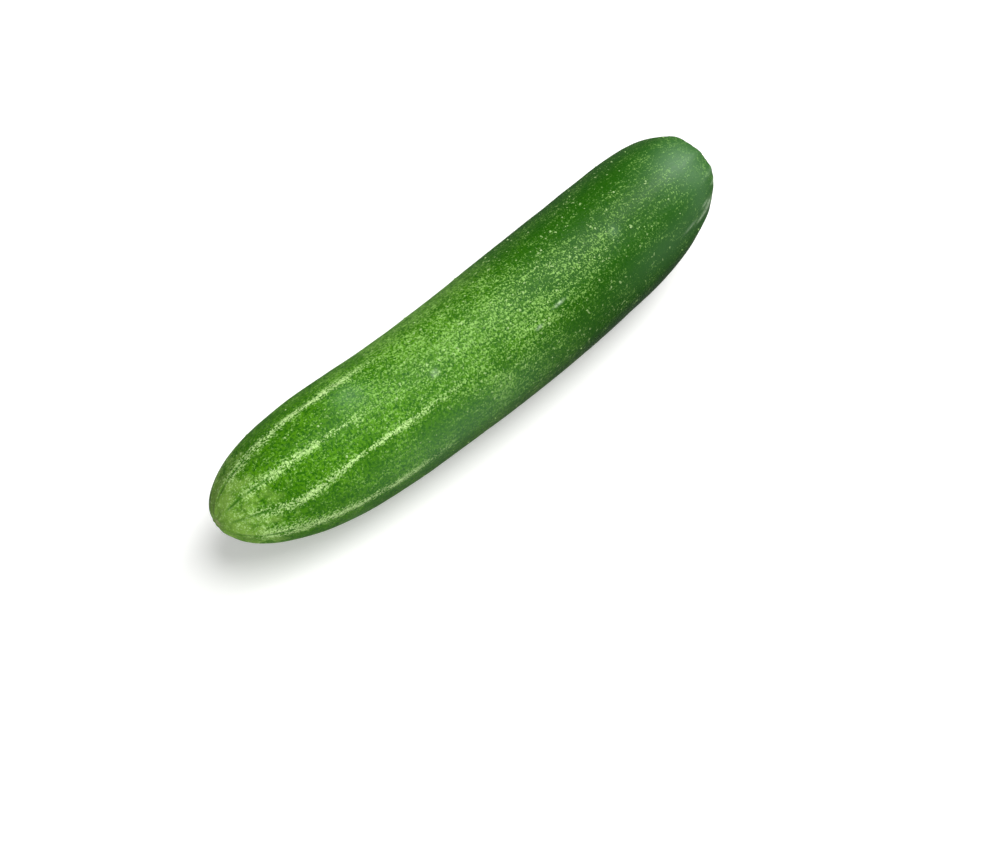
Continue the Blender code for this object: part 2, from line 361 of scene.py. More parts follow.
class FruitForm:
    """The fruit's form by x, along its axis, and turn, round it from the top towards +Y."""
    ring_spread = 0.15

    def __init__(self, shape):
        self.shape = shape
        self.half = shape.length / 2

    def place_along(self, polar):
        """X of a ring, with the rings about evenly spaced along the skin."""
        return -self.half * math.cos(polar + self.ring_spread * math.sin(2 * polar))

    def swelling(self, x):
        """Share by which the fruit is thicker or thinner at x than its mean."""
        return self.shape.swell * math.cos(math.tau * (x - self.shape.swell_crest) / self.shape.swell_pitch)

    @functools.lru_cache(maxsize=None)
    def radius(self, x):
        """Radius of the fruit at x: a body that swells a little, between two tapered ends."""
        to_blossom = min((x + self.half) / self.shape.blossom_taper, 1)
        to_stem = min((self.half - x) / self.shape.stem_taper, 1)
        blossom = 1 - (1 - to_blossom) ** self.shape.blossom_bluntness
        stem = 1 - (1 - to_stem) ** self.shape.stem_bluntness
        return self.shape.radius * (1 + self.swelling(x)) * math.sqrt(max(blossom * stem, 0))

    @functools.lru_cache(maxsize=None)
    def angle(self, turn):
        """Angle from the top once the vein lines stray from their even places."""
        line = (turn - FIRST_LINE) / LINE_PITCH
        before = math.floor(line)
        here = LINE_STRAY_DEG[before % LINE_COUNT]
        following = LINE_STRAY_DEG[(before + 1) % LINE_COUNT]
        return turn + math.radians(here + (following - here) * ease(line - before))

    def smooth_point(self, x, turn):
        """A point of the fruit before its ribs, scar and seat."""
        radius = self.radius(x)
        angle = self.angle(turn)
        top = radius * math.cos(angle)
        bow = self.shape.bend * ((x / self.half) ** 2 - 1 / 3)
        near_seat = ease(1 - (self.half - x) / self.shape.seat_reach)
        lean = self.shape.seat_lean * near_seat
        rise = self.shape.radius * self.swelling(x) - self.shape.seat_drop * near_seat
        side = radius * math.sin(angle)
        return Vector((x + top * math.sin(lean), side + bow, top * math.cos(lean) + rise))

    @functools.lru_cache(maxsize=None)
    def hollow(self, x):
        """How far the skin dips at the scar or the stalk's seat, and its share of the seat."""
        radius = self.radius(x)
        if x < 0:
            return self.shape.scar_depth * ease(1 - radius / self.shape.scar_radius), 0
        wall = self.shape.seat_rim_radius - self.shape.seat_floor_radius
        share = ease(1 - (radius - self.shape.seat_floor_radius) / wall)
        return self.shape.seat_depth * share, share

    def ribs(self, x, turn):
        """Height of the three broad lobes and the ten low ribs."""
        radius = self.radius(x)
        shoulder = ease(1 - (self.half - x) / self.shape.shoulder_rib_reach)
        rib_height = self.shape.rib_height
        rib_height += (self.shape.shoulder_rib_height - rib_height) * shoulder
        off_crest = math.hypot(math.sin((turn - FIRST_LINE) * LINE_COUNT / 2), self.shape.rib_roundness)
        rib = rib_height * (1 - off_crest)
        rim_radius = self.shape.seat_rim_radius
        off_seat = ease((radius - rim_radius) / (1.5 * rim_radius)) if x > 0 else 1
        lobe = self.shape.lobe_height * math.cos(3 * turn) * ease(radius / self.shape.radius)
        return lobe + rib * ease(radius / self.shape.pole_fade) * off_seat


class SkinPoint:
    """What the skin has at one point: its place on the fruit, its relief and its markings."""

    def __init__(self, form, skin, x, turn):
        self.form = form
        self.skin = skin
        self.x = x
        self.turn = turn
        self.radius = form.radius(x)
        self.from_tip = x + form.half
        self.from_stalk = form.half - x
        line = (turn - FIRST_LINE) / LINE_PITCH
        self.line = round(line) % LINE_COUNT
        wander = skin.line_wander * noise.noise(Vector((x / skin.wander_pitch, self.line * 3.7, 0.3)))
        sway = LINE_SWAY_MM[self.line] * MM * bell((self.from_tip - skin.sway_place) / skin.sway_reach)
        self.gap = (line - round(line)) * LINE_PITCH * self.radius + wander - sway
        self.off_pole = ease(self.radius / form.shape.pole_fade)

    def crease(self):
        """Share of the fine crease in the middle of a vein line near the blossom tip, with painted shade in
        it.
        """
        skin = self.skin
        broken = ease(0.9 + 1.4 * noise.noise(Vector((self.x / skin.crease_break, self.line * 7.1, 1.9))))
        starts = ease((self.from_tip - skin.crease_start) / (2 * MM))
        ends = ease(1.6 * (1 - self.from_tip / skin.crease_reach))
        return bell(self.gap / skin.crease_width) * broken * starts * ends * self.off_pole

    def pale_line(self):
        """Share of the pale vein line, before the colour breaks it into speckles."""
        skin = self.skin
        reach = LINE_REACH_MM[self.line] * MM
        starts = ease((self.from_tip - skin.line_start) / skin.line_rise)
        ends = ease(2.2 * (1.2 - self.from_tip / reach))
        width = skin.line_width * LINE_BREADTH[self.line]
        width *= 1 - skin.line_loss * ease(self.from_tip / skin.line_thinning)
        return LINE_PALENESS[self.line] * bell(self.gap / width) * starts * ends * self.off_pole

    def flecked(self):
        """How crowded the fine flecks are: most in the middle, with three tongues towards the stalk. They
        begin later on one side of the fruit than on the other."""
        skin = self.skin
        last = skin.fleck_end + skin.tongue_reach * math.cos(3 * (self.turn - skin.tongue_turn))
        first = skin.fleck_start + skin.fleck_lag * (1 - math.cos(self.turn - skin.lag_turn)) / 2
        crowds = ease((self.from_tip - first) / skin.fleck_fade)
        return crowds * ease((last - self.from_tip) / skin.fleck_fade)

    def seat_ridge(self):
        """Share of the sharp ridges that run from the stalk out onto the shoulder."""
        fades = ease(1.3 * (1 - self.from_stalk / self.skin.ridge_reach))
        out_of_seat = ease(self.radius / self.form.shape.seat_floor_radius - 0.9)
        return RIDGE_SHARE[self.line] * bell(self.gap / self.skin.ridge_width) * fades * out_of_seat

    def wrinkle(self):
        """Height share of the fine wrinkles that gather towards the stalk."""
        skin = self.skin
        fades = ease(1 - self.from_stalk / skin.wrinkle_reach)
        round_axis = Vector((self.x / skin.wrinkle_waver, math.cos(self.turn) * 3, math.sin(self.turn) * 3))
        waver = skin.wrinkle_sway * noise.noise(round_axis)
        return fades * math.cos(skin.wrinkle_count * self.turn + waver) * self.off_pole

    def marks(self, places):
        """Strength of the listed marks here."""
        total = 0
        for along, degrees, length, width, strength in places:
            lengthwise = (self.from_tip - along * MM) / (length * MM / 2)
            if abs(lengthwise) > 2.5:
                continue
            aside = (self.form.angle(self.turn) - math.radians(degrees) + math.pi) % math.tau - math.pi
            across = aside * self.radius / (width * MM / 2)
            total += strength * bell(math.hypot(across, lengthwise))
        return min(total, 1)

    def relief(self, place):
        """Height over the smooth fruit, but for the creases."""
        skin = self.skin
        height = self.form.ribs(self.x, self.turn) - self.form.hollow(self.x)[0]
        height += skin.ridge_height * self.seat_ridge() + skin.wrinkle_height * self.wrinkle()
        height += skin.scratch_height * self.marks(SCRATCHES_AND_GLINTS) + skin.swelling_height * self.marks(SWELLINGS)
        height += skin.unevenness * noise.noise(place / skin.unevenness_size)
        return height + skin.grain * noise.noise(place / skin.grain_size)


def sphere_angles(point):
    """Polar angle from the blossom pole and turn from the top towards +Y, on a unit sphere."""
    polar = math.acos(min(max(-point.x, -1), 1))
    return polar, math.atan2(point.y, point.z) % math.tau


def lay_uv(bm, places):
    """The skin unrolled: u along the fruit and v round it, cut along the top."""
    uv_layer = bm.loops.layers.uv.new("OFBake")
    for face in bm.faces:
        corners = [places[loop.vert.index] for loop in face.loops]
        rounds = [turn / math.tau for polar, turn in corners]
        on_pole = [polar in (0, math.pi) for polar, turn in corners]
        off_pole = [turn for turn, pole in zip(rounds, on_pole) if not pole]
        if max(off_pole) - min(off_pole) > 0.5:
            rounds = [turn + 1 if turn < 0.5 else turn for turn in rounds]
            off_pole = [turn + 1 if turn < 0.5 else turn for turn in off_pole]
        for loop, corner, turn, pole in zip(face.loops, corners, rounds, on_pole):
            turn = sum(off_pole) / len(off_pole) if pole else turn
            loop[uv_layer].uv = (corner[0] / math.pi, min(turn, 1))


def shift_into(bm, box):
    """Move a mesh so that it has the middle and the top of a solid's box."""
    low, high = box
    for axis in range(3):
        places = [vert.co[axis] for vert in bm.verts]
        step = (low[axis] + high[axis] - min(places) - max(places)) / 2
        if axis == 2:
            step = high[axis] - max(places)
        for vert in bm.verts:
            vert.co[axis] += step


def finish_piece(name, bm, material):
    """Make the mesh an object with its finish, riding on the fruit's body."""
    mesh = bpy.data.meshes.new(name)
    bm.to_mesh(mesh)
    bm.free()
    mesh.shade_smooth()
    mesh.materials.append(material)
    piece = bpy.data.objects.new(name, mesh)
    bpy.context.scene.collection.objects.link(piece)
    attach(piece, BODY)
    return piece


def new_finish(name):
    """An empty material, with its shader and its node tree."""
    material = bpy.data.materials.new(name)
    material.use_nodes = True
    tree = material.node_tree
    return material, tree, tree.nodes["Principled BSDF"]


def add_node(tree, kind, inputs=(), output=0, **settings):
    """Add a node with its settings and links, and give one of its outputs. Inputs come in order, or by
    name or number, and each is a plain value or the output that feeds it."""
    node = tree.nodes.new(kind)
    for name, value in settings.items():
        setattr(node, name, value)
    for key, value in inputs.items() if isinstance(inputs, dict) else enumerate(inputs):
        if isinstance(value, bpy.types.NodeSocket):
            tree.links.new(value, node.inputs[key])
        else:
            node.inputs[key].default_value = value
    return node.outputs[output]


def waxy_cucumber_skin(skin):
    """Cucumber rind under its natural wax: a satin gloss over mottled greens, light speckles that show
    through the rind, pale vein lines that break up into speckles, and a yellower blossom end. Over these
    lie painted shade in the blossom-end creases, painted highlights on the shoulder's ridges and on some
    scratches, and grey blurs that are partly wax and partly painted highlight and painted reflection."""
    material, tree, shader = new_finish("waxy_cucumber_skin")
    place = add_node(tree, 'ShaderNodeTexCoord', output="Object")
    along, flecked, pale, crease, wax, scratch, ridge = (
        add_node(tree, 'ShaderNodeAttribute', output="Fac", attribute_name=mark) for mark in SKIN_MARKS)

    # Soft mottling over slow patches, finely streaked along the stem end
    mottle = add_node(tree, 'ShaderNodeTexNoise',
                      {"Vector": place, "Scale": 1 / skin.mottle_size, "Detail": 3, "Roughness": 0.6})
    mottle = add_node(tree, 'ShaderNodeMapRange', (mottle, 0.36, 0.64), **SMOOTH)
    patches = add_node(tree, 'ShaderNodeTexNoise',
                       {"Vector": place, "Scale": 1 / skin.patch_size, "Roughness": 0.6})
    patches = add_node(tree, 'ShaderNodeMapRange', (patches, 0.35, 0.65), **SMOOTH)
    drawn_out = add_node(tree, 'ShaderNodeMapping', {"Vector": place, "Scale": (0.12, 1, 1)})
    streaks = add_node(tree, 'ShaderNodeTexNoise',
                       {"Vector": drawn_out, "Scale": 1 / skin.streak_size, "Detail": 3, "Roughness": 0.6})
    streaks = add_node(tree, 'ShaderNodeMapRange', (streaks, 0.35, 0.7), **SMOOTH)
    streaked = add_node(tree, 'ShaderNodeMapRange', (along, 0.78, 0.9), **SMOOTH)
    texture = add_node(tree, 'ShaderNodeMix', {"Factor": streaked, "A": mottle, "B": streaks})
    lightness = add_node(tree, 'ShaderNodeMapRange', (patches, 0, 1, 0.65, 1), **SMOOTH)
    lightness = add_node(tree, 'ShaderNodeMath', (texture, lightness), operation='MULTIPLY')
    greens = {MIX_SHARE: lightness, MIX_FIRST: (*skin.deep_green, 1), MIX_SECOND: (*skin.leaf_green, 1)}
    colour = add_node(tree, 'ShaderNodeMix', greens, MIX_RESULT, data_type='RGBA')

    # The stem end grows darker, and the blossom end yellower with an uneven edge
    stem_end = add_node(tree, 'ShaderNodeMapRange', (along, 0.37, 0.72), **SMOOTH)
    waver = add_node(tree, 'ShaderNodeTexNoise',
                     {"Vector": place, "Scale": 1 / skin.waver_size, "Roughness": 0.6})
    waver = add_node(tree, 'ShaderNodeMapRange', (waver, 0.3, 0.7, -0.03, 0.03), **SMOOTH)
    blossom_end = add_node(tree, 'ShaderNodeMath', (along, waver), operation='ADD')
    blossom_end = add_node(tree, 'ShaderNodeMapRange', (blossom_end, 0, 0.088, 1, 0), **SMOOTH)

    # Fine flecks, crowded along the middle of the fruit and gathered in faint rows. They close up into
    # the pale vein lines, which break up into flecks again where they fade.
    flecks = add_node(tree, 'ShaderNodeTexNoise',
                      {"Vector": place, "Scale": 1 / skin.fleck_size, "Roughness": 0.6, "Distortion": 0.7})
    for span in ((flecked, 0, 1, -0.05, 0.03), (patches, 0, 1, -0.03, 0.03), (streaks, 0, 1, -0.045, 0.045),
                 (stem_end, 0, 1, 0, -0.015)):
        crowding = add_node(tree, 'ShaderNodeMapRange', span, **SMOOTH)
        flecks = add_node(tree, 'ShaderNodeMath', (flecks, crowding), operation='ADD')
    for mark, crowding in ((blossom_end, 0.045), (pale, 0.17)):
        flecks = add_node(tree, 'ShaderNodeMath', (mark, crowding, flecks), operation='MULTIPLY_ADD')
    flecks = add_node(tree, 'ShaderNodeMapRange', (flecks, 0.515, 0.6), **SMOOTH)
    strength = add_node(tree, 'ShaderNodeMapRange', (flecked, 0, 1, 0.55, 0.8), **SMOOTH)
    strength = add_node(tree, 'ShaderNodeMath', (blossom_end, 0.3, strength), operation='MULTIPLY_ADD')
    strength = add_node(tree, 'ShaderNodeMath', (pale, 0.7, strength), operation='MULTIPLY_ADD',
                        use_clamp=True)
    broken = add_node(tree, 'ShaderNodeTexNoise',
                      {"Vector": place, "Scale": 1 / skin.break_size, "Detail": 1, "Roughness": 0.6})
    broken = add_node(tree, 'ShaderNodeMapRange', (broken, 0.35, 0.6, 0.4, 1), **SMOOTH)
    unbroken = add_node(tree, 'ShaderNodeMath', (pale, 0.75), operation='MULTIPLY')
    unbroken = add_node(tree, 'ShaderNodeMath', (broken, unbroken), operation='MAXIMUM')
    strength = add_node(tree, 'ShaderNodeMath', (strength, unbroken), operation='MULTIPLY')
    paleness = add_node(tree, 'ShaderNodeMath', (blossom_end, 0.5), operation='MULTIPLY')
    paleness = add_node(tree, 'ShaderNodeMath', (pale, paleness), operation='MAXIMUM')
    tints = {MIX_SHARE: paleness, MIX_FIRST: (*skin.fleck_green, 1), MIX_SECOND: (*skin.line_green, 1)}
    fleck_colour = add_node(tree, 'ShaderNodeMix', tints, MIX_RESULT, data_type='RGBA')

    # Larger flecks in loose clusters, most of them past the middle
    clusters = add_node(tree, 'ShaderNodeTexNoise',
                        {"Vector": place, "Scale": 1 / skin.cluster_size, "Roughness": 0.6})
    blotches = add_node(tree, 'ShaderNodeTexNoise',
                        {"Vector": place, "Scale": 1 / skin.blotch_size, "Detail": 1, "Roughness": 0.6,
                         "Distortion": 0.3})
    for span in ((clusters, 0.3, 0.7, -0.08, 0.04), (along, 0.15, 0.6, -0.05, 0),
                 (along, 0.76, 0.9, 0, -0.08)):
        crowding = add_node(tree, 'ShaderNodeMapRange', span, **SMOOTH)
        blotches = add_node(tree, 'ShaderNodeMath', (blotches, crowding), operation='ADD')
    blotches = add_node(tree, 'ShaderNodeMapRange', (blotches, 0.66, 0.74), **SMOOTH)

    # What lies over the mottled greens, from the rind outwards: where, how strongly and in which colour
    broken_scratch_and_glint = add_node(tree, 'ShaderNodeMath', (scratch, broken), operation='MULTIPLY')
    broken_ridge_glint = add_node(tree, 'ShaderNodeMath', (ridge, broken), operation='MULTIPLY')
    layers = (
        (stem_end, 0.86, (*skin.stem_green, 1)),
        (blossom_end, 0.58, (*skin.blossom_green, 1)),
        (flecks, strength, fleck_colour),
        # Painted shade in the creases at the blossom end
        (crease, 0.8, (*skin.painted_crease_shade, 1)),
        (blotches, 0.5, (*skin.line_green, 1)),
        # Grey blurs: partly wax, partly painted highlight and painted reflection
        (wax, 0.35, (*skin.wax_and_sheen_grey, 1)),
        # Pale scratches, and painted glints on the shoulder near the stalk
        (broken_scratch_and_glint, 0.75, (*skin.scratch_and_glint_pale, 1)),
        # Painted highlight along the crests of the ridges round the stalk
        (broken_ridge_glint, 0.6, (*skin.painted_ridge_glint, 1)),
    )
    for where, share, tint in layers:
        cover = add_node(tree, 'ShaderNodeMath', (where, share), operation='MULTIPLY')
        tints = {MIX_SHARE: cover, MIX_FIRST: colour, MIX_SECOND: tint}
        colour = add_node(tree, 'ShaderNodeMix', tints, MIX_RESULT, data_type='RGBA')
    tree.links.new(colour, shader.inputs["Base Color"])

    # Satin gloss, duller on the grey blurs and glossier on the smooth stem end
    roughness = add_node(tree, 'ShaderNodeMapRange', (broken, 0.4, 1, 0.3, 0.42), **SMOOTH)
    roughness = add_node(tree, 'ShaderNodeMath', (wax, 0.12, roughness), operation='MULTIPLY_ADD')
    roughness = add_node(tree, 'ShaderNodeMath', (stem_end, -0.04, roughness), operation='MULTIPLY_ADD')
    tree.links.new(roughness, shader.inputs["Roughness"])
    shader.inputs["IOR"].default_value = 1.38
    shader.inputs["Specular IOR Level"].default_value = 0.18

    # Flecks stand a hair proud of the rind
    height = add_node(tree, 'ShaderNodeMath', (flecks, 0.5), operation='MULTIPLY')
    height = add_node(tree, 'ShaderNodeMath', (texture, 0.4, height), operation='MULTIPLY_ADD')
    height = add_node(tree, 'ShaderNodeMath', (blotches, 0.6, height), operation='MULTIPLY_ADD')
    bump = add_node(tree, 'ShaderNodeBump',
                    {"Height": height, "Strength": 0.6, "Distance": skin.fleck_height})
    tree.links.new(bump, shader.inputs["Normal"])
    return material


def green_stalk(details):
    """A fresh cut fruit stalk: tough green bark over long pale fibres, with a moist pith at the cut."""
    material, tree, shader = new_finish("green_stalk")
    place = add_node(tree, 'ShaderNodeTexCoord', output="Object")
    ridge, pith, foot = (
        add_node(tree, 'ShaderNodeAttribute', output="Fac", attribute_name=mark) for mark in STALK_MARKS)
    drawn_out = add_node(tree, 'ShaderNodeMapping', {"Vector": place, "Scale": (0.2, 1, 1)})
    fibres = add_node(tree, 'ShaderNodeTexNoise',
                      {"Vector": drawn_out, "Scale": 1 / details.fibre_size, "Detail": 3})
    fibres = add_node(tree, 'ShaderNodeMapRange', (fibres, 0.38, 0.68))

    # What lies over the green bark: where, how strongly and in which colour
    layers = (
        (fibres, 0.45, details.stalk_pale),
        (ridge, 0.55, details.stalk_pale),
        (foot, 0.5, details.foot_grey),
        (pith, 1, details.cut_pale),
    )
    colour = (*details.stalk_green, 1)
    for where, share, tint in layers:
        cover = add_node(tree, 'ShaderNodeMath', (where, share), operation='MULTIPLY')
        tints = {MIX_SHARE: cover, MIX_FIRST: colour, MIX_SECOND: (*tint, 1)}
        colour = add_node(tree, 'ShaderNodeMix', tints, MIX_RESULT, data_type='RGBA')
    tree.links.new(colour, shader.inputs["Base Color"])
    shader.inputs["Roughness"].default_value = 0.55
    bump = add_node(tree, 'ShaderNodeBump',
                    {"Height": fibres, "Strength": 0.7, "Distance": details.fibre_height})
    tree.links.new(bump, shader.inputs["Normal"])
    return material


def corky_scar(details):
    """The dry scar that the blossom leaves: matt tan cork that cracks and flakes at its edge."""
    material, tree, shader = new_finish("corky_scar")
    place = add_node(tree, 'ShaderNodeTexCoord', output="Object")
    flakes = add_node(tree, 'ShaderNodeTexNoise',
                      {"Vector": place, "Scale": 1 / details.flake_size, "Detail": 4})
    share = add_node(tree, 'ShaderNodeMapRange', (flakes, 0.35, 0.65))
    tints = {MIX_SHARE: share, MIX_FIRST: (*details.scar_tan, 1), MIX_SECOND: (*details.scar_pale, 1)}
    colour = add_node(tree, 'ShaderNodeMix', tints, MIX_RESULT, data_type='RGBA')
    tree.links.new(colour, shader.inputs["Base Color"])
    shader.inputs["Roughness"].default_value = 0.85
    bump = add_node(tree, 'ShaderNodeBump',
                    {"Height": flakes, "Strength": 0.8, "Distance": details.flake_height})
    tree.links.new(bump, shader.inputs["Normal"])
    return material


def pale_spine_bump(details):
    """The callus under a shed spine: smooth, pale and a little glossy, greener in some than in others."""
    material, tree, shader = new_finish("pale_spine_bump")
    place = add_node(tree, 'ShaderNodeTexCoord', output="Object")
    varied = add_node(tree, 'ShaderNodeTexNoise', {"Vector": place, "Scale": 1 / details.bump_variety})
    share = add_node(tree, 'ShaderNodeMapRange', (varied, 0.35, 0.65))
    tints = {MIX_SHARE: share, MIX_FIRST: (*details.bump_pale, 1), MIX_SECOND: (*details.bump_green, 1)}
    colour = add_node(tree, 'ShaderNodeMix', tints, MIX_RESULT, data_type='RGBA')
    tree.links.new(colour, shader.inputs["Base Color"])
    shader.inputs["Roughness"].default_value = 0.35
    return material


def backlit_white_acrylic(studio):
    """The matt white top of a light table, a little uneven in tone. Its glow keeps the shadows pale."""
    material, tree, shader = new_finish("backlit_white_acrylic")
    place = add_node(tree, 'ShaderNodeTexCoord', output="Object")
    tone = add_node(tree, 'ShaderNodeTexNoise', {"Vector": place, "Scale": 1 / studio.tone_size})
    white = Vector(studio.floor_white)
    tints = {MIX_SHARE: tone, MIX_FIRST: (*white, 1), MIX_SECOND: (*(white * 0.985), 1)}
    colour = add_node(tree, 'ShaderNodeMix', tints, MIX_RESULT, data_type='RGBA')
    tree.links.new(colour, shader.inputs["Base Color"])
    shader.inputs["Emission Color"].default_value = (*white, 1)
    shader.inputs["Emission Strength"].default_value = studio.floor_glow
    shader.inputs["Roughness"].default_value = 0.9
    shader.inputs["Specular IOR Level"].default_value = 0.1
    return material


class CUCUMBER_OT_fruit(bpy.types.Operator):
    """Grow the whole fruit with its fine skin"""
    bl_idname = "cucumber.fruit"
    bl_label = "Fruit"

    def execute(self, context):
        skin = context.scene.cucumber_skin
        form = FruitForm(context.scene.cucumber_shape)
        bm = bmesh.new()
        along, flecked, pale, creased, wax, scratch, ridge = map(bm.verts.layers.float.new, SKIN_MARKS)
        bmesh.ops.create_uvsphere(bm, u_segments=skin.around, v_segments=skin.rings, radius=1,
                                  matrix=Matrix.Rotation(math.pi / 2, 4, 'Y'))
        bm.verts.index_update()
        places = [sphere_angles(vert.co) for vert in bm.verts]
        lay_uv(bm, places)
        points = [SkinPoint(form, skin, form.place_along(polar), turn) for polar, turn in places]
        for vert, point in zip(bm.verts, points):
            vert.co = form.smooth_point(point.x, point.turn)
        bm.normal_update()
        outwards = [vert.normal.copy() for vert in bm.verts]
        for vert, point, outward in zip(bm.verts, points, outwards):
            crease = point.crease()
            vert.co += outward * (point.relief(vert.co) - skin.crease_depth * crease)
            vert[along] = point.from_tip / (2 * form.half)
            vert[flecked] = point.flecked()
            # The pale line gives way to the painted shade in the crease
            vert[pale] = point.pale_line() * (1 - 0.7 * crease)
            vert[creased] = crease
            vert[wax] = point.marks(WAX_AND_SHEEN_BLURS)
            vert[scratch] = point.marks(SCRATCHES_AND_GLINTS)
            vert[ridge] = point.seat_ridge()
        shift_into(bm, FRUIT_BOX)
        for vert in bm.verts:
            vert.co.z = max(vert.co.z, 0)
        piece = finish_piece("fruit_skin", bm, waxy_cucumber_skin(skin))
        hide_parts("fruit")
        return {'FINISHED'}


class CUCUMBER_OT_stalk(bpy.types.Operator):
    """Grow the cut stub of the stalk out of its seat"""
    bl_idname = "cucumber.stalk"
    bl_label = "Stalk"

    def execute(self, context):
        details = context.scene.cucumber_details
        shape = context.scene.cucumber_shape
        bm = bmesh.new()
        ridge_layer, pith_layer, foot_layer = map(bm.verts.layers.float.new, STALK_MARKS)
        bmesh.ops.create_cone(bm, cap_ends=True, segments=details.stalk_around, radius1=1, radius2=1,
                              depth=1, matrix=Matrix.Translation((0, 0, 0.5)))
        walls = [edge for edge in bm.edges if abs(edge.verts[0].co.z - edge.verts[1].co.z) > 0.5]
        bmesh.ops.subdivide_edges(bm, edges=walls, cuts=details.stalk_rings)
        cut = [face for face in bm.faces if face.normal.z > 0.9]
        for ring in range(details.cut_rings):
            bmesh.ops.inset_region(bm, faces=cut, thickness=1 / (details.cut_rings + 1))
        bmesh.ops.poke(bm, faces=cut)
        outward = Vector((math.cos(shape.seat_lean), 0, -math.sin(shape.seat_lean)))
        level = Vector((0, 1, 0))
        across = outward.cross(level)
        bend_radius = details.stalk_length / details.stalk_turn
        for vert in bm.verts:
            share = vert.co.z
            turn = math.atan2(vert.co.y, vert.co.x)
            inner = math.hypot(vert.co.x, vert.co.y)
            foot = (1 - share) ** 4
            fibre = 0.5 + 0.5 * math.cos(details.stalk_ridges * turn + 0.5 * share)
            fine = noise.noise(Vector((math.cos(turn) * 5, math.sin(turn) * 5, share * 2.2)))
            radius = details.stalk_radius + (details.stalk_foot_radius - details.stalk_radius) * foot
            radius += (details.stalk_cut_radius - details.stalk_radius) * share ** 3
            radius *= details.stalk_groove + details.stalk_ridge * fibre ** 1.4 + details.stalk_grain * fine
            on_cut = share > 0.999 and inner < 0.999
            cup = details.cup_depth * (1 - inner ** 2) if on_cut else 0
            swing = details.stalk_turn * share
            spine = (outward * math.sin(swing) + level * (1 - math.cos(swing))) * bend_radius
            level_here = level * math.cos(swing) - outward * math.sin(swing)
            ahead = outward * math.cos(swing) + level * math.sin(swing)
            offset = (across * math.sin(turn) + level_here * math.cos(turn)) * radius * inner
            rough = details.cut_grain * noise.noise(offset / details.cut_grain_size) if on_cut else 0
            vert.co = spine + offset - ahead * (cup - rough) - outward * details.stalk_sink * foot
            vert[ridge_layer] = fibre ** 3
            vert[pith_layer] = ease((0.93 - inner) / 0.1) if on_cut else 0
            vert[foot_layer] = foot
        shift_into(bm, STALK_BOX)
        piece = finish_piece("stalk", bm, green_stalk(details))
        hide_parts("stem")
        return {'FINISHED'}


class CUCUMBER_OT_scar(bpy.types.Operator):
    """Set the dry blossom scar into the dip at the blossom tip"""
    bl_idname = "cucumber.scar"
    bl_label = "Blossom scar"

    def execute(self, context):
        details = context.scene.cucumber_details
        skin = bpy.data.objects["fruit_skin"].data
        along = skin.attributes["along"].data
        pole = min(skin.vertices, key=lambda vert: along[vert.index].value)
        bm = bmesh.new()
        bmesh.ops.create_uvsphere(bm, u_segments=48, v_segments=24, radius=1)
        for vert in bm.verts:
            turn = math.atan2(vert.co.y, vert.co.x)
            ragged = noise.noise(Vector((math.cos(turn) * 2.5, math.sin(turn) * 2.5, 4)))
            edge = 1 + details.scar_raggedness * ragged
            crack = 1 - details.scar_cracks * bell(3 * math.sin(2.5 * turn)) * ease(vert.co.xy.length * 1.3)
            dent = details.scar_dent * bell(vert.co.xy.length / 0.3)
            vert.co.x *= details.scar_radius * edge
            vert.co.y *= details.scar_radius * edge
            vert.co.z *= details.scar_height * (crack - dent)
        facing = pole.normal.to_track_quat('Z', 'Y').to_matrix().to_4x4()
        bmesh.ops.transform(bm, matrix=Matrix.Translation(pole.co) @ facing, verts=bm.verts)
        finish_piece("blossom_scar", bm, corky_scar(details))
        return {'FINISHED'}


class CUCUMBER_OT_bumps(bpy.types.Operator):
    """Strew the tiny pale bumps that the shed spines leave"""
    bl_idname = "cucumber.bumps"
    bl_label = "Spine bumps"

    def execute(self, context):
        details = context.scene.cucumber_details
        form = FruitForm(context.scene.cucumber_shape)
        skin = bpy.data.objects["fruit_skin"].data
        along = skin.attributes["along"].data
        first, last = BUMPS_BETWEEN
        draw = random.Random(21)
        lying_free = [vert for vert in skin.vertices
                      if first < along[vert.index].value < last and vert.co.z > BUMP_CLEARANCE]
        chosen = draw.sample(lying_free, details.bump_count)
        for from_tip, degrees in PLACED_BUMPS:
            near = [vert for vert in lying_free
                    if abs(along[vert.index].value * 2 * form.half - from_tip * MM) < 0.5 * MM]
            centre = sum((vert.co for vert in near), Vector()) / len(near)
            way = Vector((0, math.sin(math.radians(degrees)), math.cos(math.radians(degrees))))
            chosen.append(max(near, key=lambda vert: (vert.co - centre).normalized().dot(way)))
        bm = bmesh.new()
        flatness = details.bump_flatness
        for vert in chosen:
            radius = details.bump_radius * draw.uniform(*BUMP_SIZES)
            facing = vert.normal.to_track_quat('Z', 'Y').to_matrix().to_4x4()
            flattened = Matrix.Diagonal((radius, radius * draw.uniform(0.8, 1), radius * flatness, 1))
            bmesh.ops.create_uvsphere(bm, u_segments=8, v_segments=6, radius=1,
                                      matrix=Matrix.Translation(vert.co) @ facing @ flattened)
        finish_piece("spine_bumps", bm, pale_spine_bump(details))
        return {'FINISHED'}


